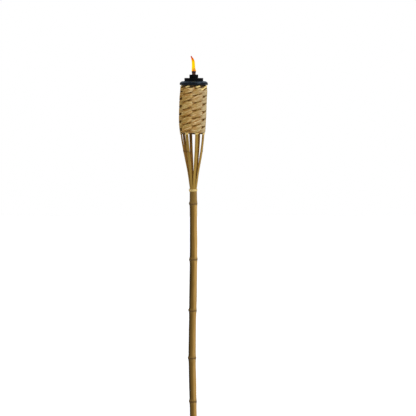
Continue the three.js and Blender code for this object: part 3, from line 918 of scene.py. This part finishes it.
def gasket_piece():
    """The ring between the canister's neck and the cap."""
    outline = tube_outline(22, *box("cap_gasket"), 0.25)
    shape = turned(outline, 96)
    shape.build("cap_gasket_ring", rubber_material(), "gasket", ["cap_gasket"], "gasket_rubber")


def sleeve_piece():
    """The tube that guides the wick down into the oil."""
    low, high = box("wick_sleeve")
    outline = tube_outline(high.x - SLEEVE_WALL, low, high, 0.1)
    shape = turned(outline, 64)
    shape.build("wick_sleeve_tube", steel_material(), "burner", ["wick_sleeve"], "tinned_steel")


def wick_piece():
    """Round braid of glass fibre, spread and ragged where it is charred."""
    low, high = box("wick")
    top = high.z
    shape = Shape()
    sides = 96
    heights = spaced(low.z, top - 14, 2.5) + spaced(top - 13.6, top - 0.2, 0.32)
    rings = []
    for z in heights:
        below = top - z
        spread = 0.35 * clamp((12 - below) / 3, 0, 1) + 0.9 * clamp((6.6 - below) / 4, 0, 1)
        spread -= 0.9 * clamp((1.4 - below) / 1.4, 0, 1)
        points, grain = [], []
        for i in range(sides):
            angle = 360 * i / sides
            turn = math.radians(8 * angle)
            braid = math.sin(turn + z * 1.45) * math.sin(turn - z * 1.45)
            ragged = 0.3 * clamp((3.2 - below) / 3, 0, 1) * noise.noise(Vector((angle / 14, z * 0.9, 2)))
            fluffed = 0.45 * clamp((12 - below) / 2, 0, 1)
            reach = WICK_RADIUS - 0.12 + 0.16 * braid + spread + ragged + fluffed
            point = towards(angle) * reach
            lift = 0.55 * noise.noise(Vector((angle / 20, 5, 1))) * clamp((1.6 - below) / 1.2, 0, 1)
            points.append(point + Vector((0, 0, z + lift)))
            grain.append((point.x, point.y, z))
        rings.append(shape.outline(points, grain))
    for share in (0.8, 0.55, 0.3, 0.08):
        points, grain = [], []
        for i in range(sides):
            point = towards(360 * i / sides) * (WICK_RADIUS * share)
            lift = 0.4 * noise.noise(Vector((point.x * 0.8, point.y * 0.8, 4)))
            points.append(point + Vector((0, 0, top + lift)))
            grain.append((point.x, point.y, top))
        rings.append(shape.outline(points, grain))
    shape.skin(rings)
    shape.build("braided_wick", wick_material(top), "wick", ["wick"], "wick_fibre", 60)


def flame_piece():
    """The flame on the wick: a tongue that bends further left towards its tip."""
    low = box("wick")[1].z + 0.1
    high = low + FLAME_HEIGHT
    lean = smooth_through([(0, 0.2), (0.2, -0.8), (0.45, -1.2), (0.68, -2.3), (0.84, -4.6), (1, -7.9)])
    girth = smooth_through([(0, 6.9), (0.05, 6.7), (0.2, 5.4), (0.45, 4.9), (0.62, 4.7), (0.8, 3.6),
                            (0.92, 2.4), (1, 1.6)])
    shape = Shape()
    sides = 40
    rings = []
    for share in spaced(0, 1, 1 / 46):
        z = lerp(low, high, share)
        centre = Vector((lean(share), 0.9 * math.sin(3.2 * share), z))
        points, grain = [], []
        for i in range(sides):
            angle = 360 * i / sides
            folds = 1 + 0.07 * share * math.sin(math.radians(3 * angle) + 5 * share)
            point = centre + towards(angle) * girth(share) * folds
            points.append(point)
            grain.append(tuple(point))
        rings.append(shape.outline(points, grain))
    shape.skin(rings)
    shape.build("flame", flame_material(low, high), "wick", [], "wick_fibre", 180)


# ---- Stage ----
def stage_pieces():
    """A pale floor, and a white surround that only the camera sees."""
    def plain(name, grey, emission):
        return Paint(name, Base_Color=(grey, grey, grey, 1), Roughness=0.9, Specular_IOR_Level=0.0,
                     Emission_Color=(1, 1, 1, 1), Emission_Strength=emission).material

    bpy.ops.mesh.primitive_circle_add(vertices=96, radius=28, fill_type="NGON", location=(0, 0, -0.0002))
    floor = bpy.context.object
    floor.name = "floor"
    floor.data.materials.append(plain("floor_white", 0.9, 0.3))
    bpy.ops.mesh.primitive_uv_sphere_add(segments=48, ring_count=24, radius=29)
    surround = bpy.context.object
    surround.name = "surround"
    surround.data.materials.append(plain("surround_white", 0, 1.0))
    for flag in ("visible_diffuse", "visible_glossy", "visible_transmission", "visible_volume_scatter",
                 "visible_shadow"):
        setattr(surround, flag, False)


def sun(name, azimuth, elevation, strength, spread):
    """A soft distant lamp. Azimuth runs from the front towards the right, and spread is its angle."""
    lamp = bpy.data.lights.new(name, "SUN")
    lamp.energy = strength
    lamp.angle = math.radians(spread)
    holder = bpy.data.objects.new(name, lamp)
    bpy.context.scene.collection.objects.link(holder)
    level, up = math.cos(math.radians(elevation)), math.sin(math.radians(elevation))
    out = towards(azimuth) * level + Vector((0, 0, up))
    holder.rotation_euler = out.to_track_quat("Z", "Y").to_euler()


def lights():
    """A large soft key from the right, a weak fill, and a room with bright panels at its sides."""
    sun("key", 48, 36, 2.7, 35)
    sun("fill", -35, 30, 0.6, 50)
    world = bpy.data.worlds.new("studio")
    bpy.context.scene.world = world
    world.use_nodes = True
    nodes, links = world.node_tree.nodes, world.node_tree.links
    place = nodes.new("ShaderNodeTexCoord")
    split = nodes.new("ShaderNodeSeparateXYZ")
    ramp = nodes.new("ShaderNodeValToRGB")
    band = [(0.0, (0.12, 0.12, 0.12)), (0.14, (0.16, 0.16, 0.17)), (0.26, (0.85, 0.92, 1.0)),
            (0.5, (0.85, 0.92, 1.0)), (0.68, (0.4, 0.42, 0.45)), (1.0, (0.3, 0.3, 0.3))]
    set_stops(ramp.color_ramp, band)
    links.new(place.outputs["Generated"], split.inputs[0])
    links.new(split.outputs[2], ramp.inputs[0])
    links.new(ramp.outputs[0], nodes["Background"].inputs["Color"])
    aside = nodes.new("ShaderNodeMath")
    aside.operation = "ABSOLUTE"
    links.new(split.outputs[0], aside.inputs[0])
    panels = nodes.new("ShaderNodeMapRange")
    for socket, value in (("From Min", 0.3), ("From Max", 0.75), ("To Min", 0.25), ("To Max", 1.15)):
        panels.inputs[socket].default_value = value
    links.new(aside.outputs[0], panels.inputs["Value"])
    links.new(panels.outputs[0], nodes["Background"].inputs["Strength"])


def camera():
    """A long lens at the height of the torch's head. The torch is left of the middle, its foot cut off."""
    distance, pitch = 16.0, math.radians(1.5)
    view_height = 1.2688
    aim = Vector((0.04331, 0, 0.8018))
    data = bpy.data.cameras.new("camera")
    data.sensor_width = 36
    data.lens = 18 / (view_height / 2 / distance)
    data.clip_start, data.clip_end = 1, 80
    holder = bpy.data.objects.new("camera", data)
    bpy.context.scene.collection.objects.link(holder)
    back = Vector((0, -math.cos(pitch), math.sin(pitch)))
    holder.location = aim + back * distance
    holder.rotation_euler = back.to_track_quat("Z", "Y").to_euler()
    bpy.context.scene.camera = holder
    bpy.context.scene.view_settings.view_transform = "Standard"


# ---- Assembly ----
camera()
lights()
stage_pieces()

culm, splint, weave, cane = culm_material(), splint_material(), weave_material(), cane_material()
satin = enamel_material("satin_enamel", 0.05, 0.3, 0.45, polished_above=1186)
matte = enamel_material("matte_enamel", 0.05, 0.5, 0.65)
pole_piece(culm)
for number in range(len(STAKE_ANGLES)):
    splint_piece(number, splint)
for phase, letter in enumerate("ab"):
    strand_piece(letter, phase, weave)
cane_piece("top_cane", TOP_CANE, cane, tail=((30, 1161), (67, 1174.2)))
cane_piece("bottom_cane", BOTTOM_CANE, cane)
binding_piece(cane)
can_wall_piece(matte)
can_bottom_piece(matte)
flange_piece(satin)
gasket_piece()
cap_piece(matte)
collar_piece(matte)
sleeve_piece()
wick_piece()
flame_piece()
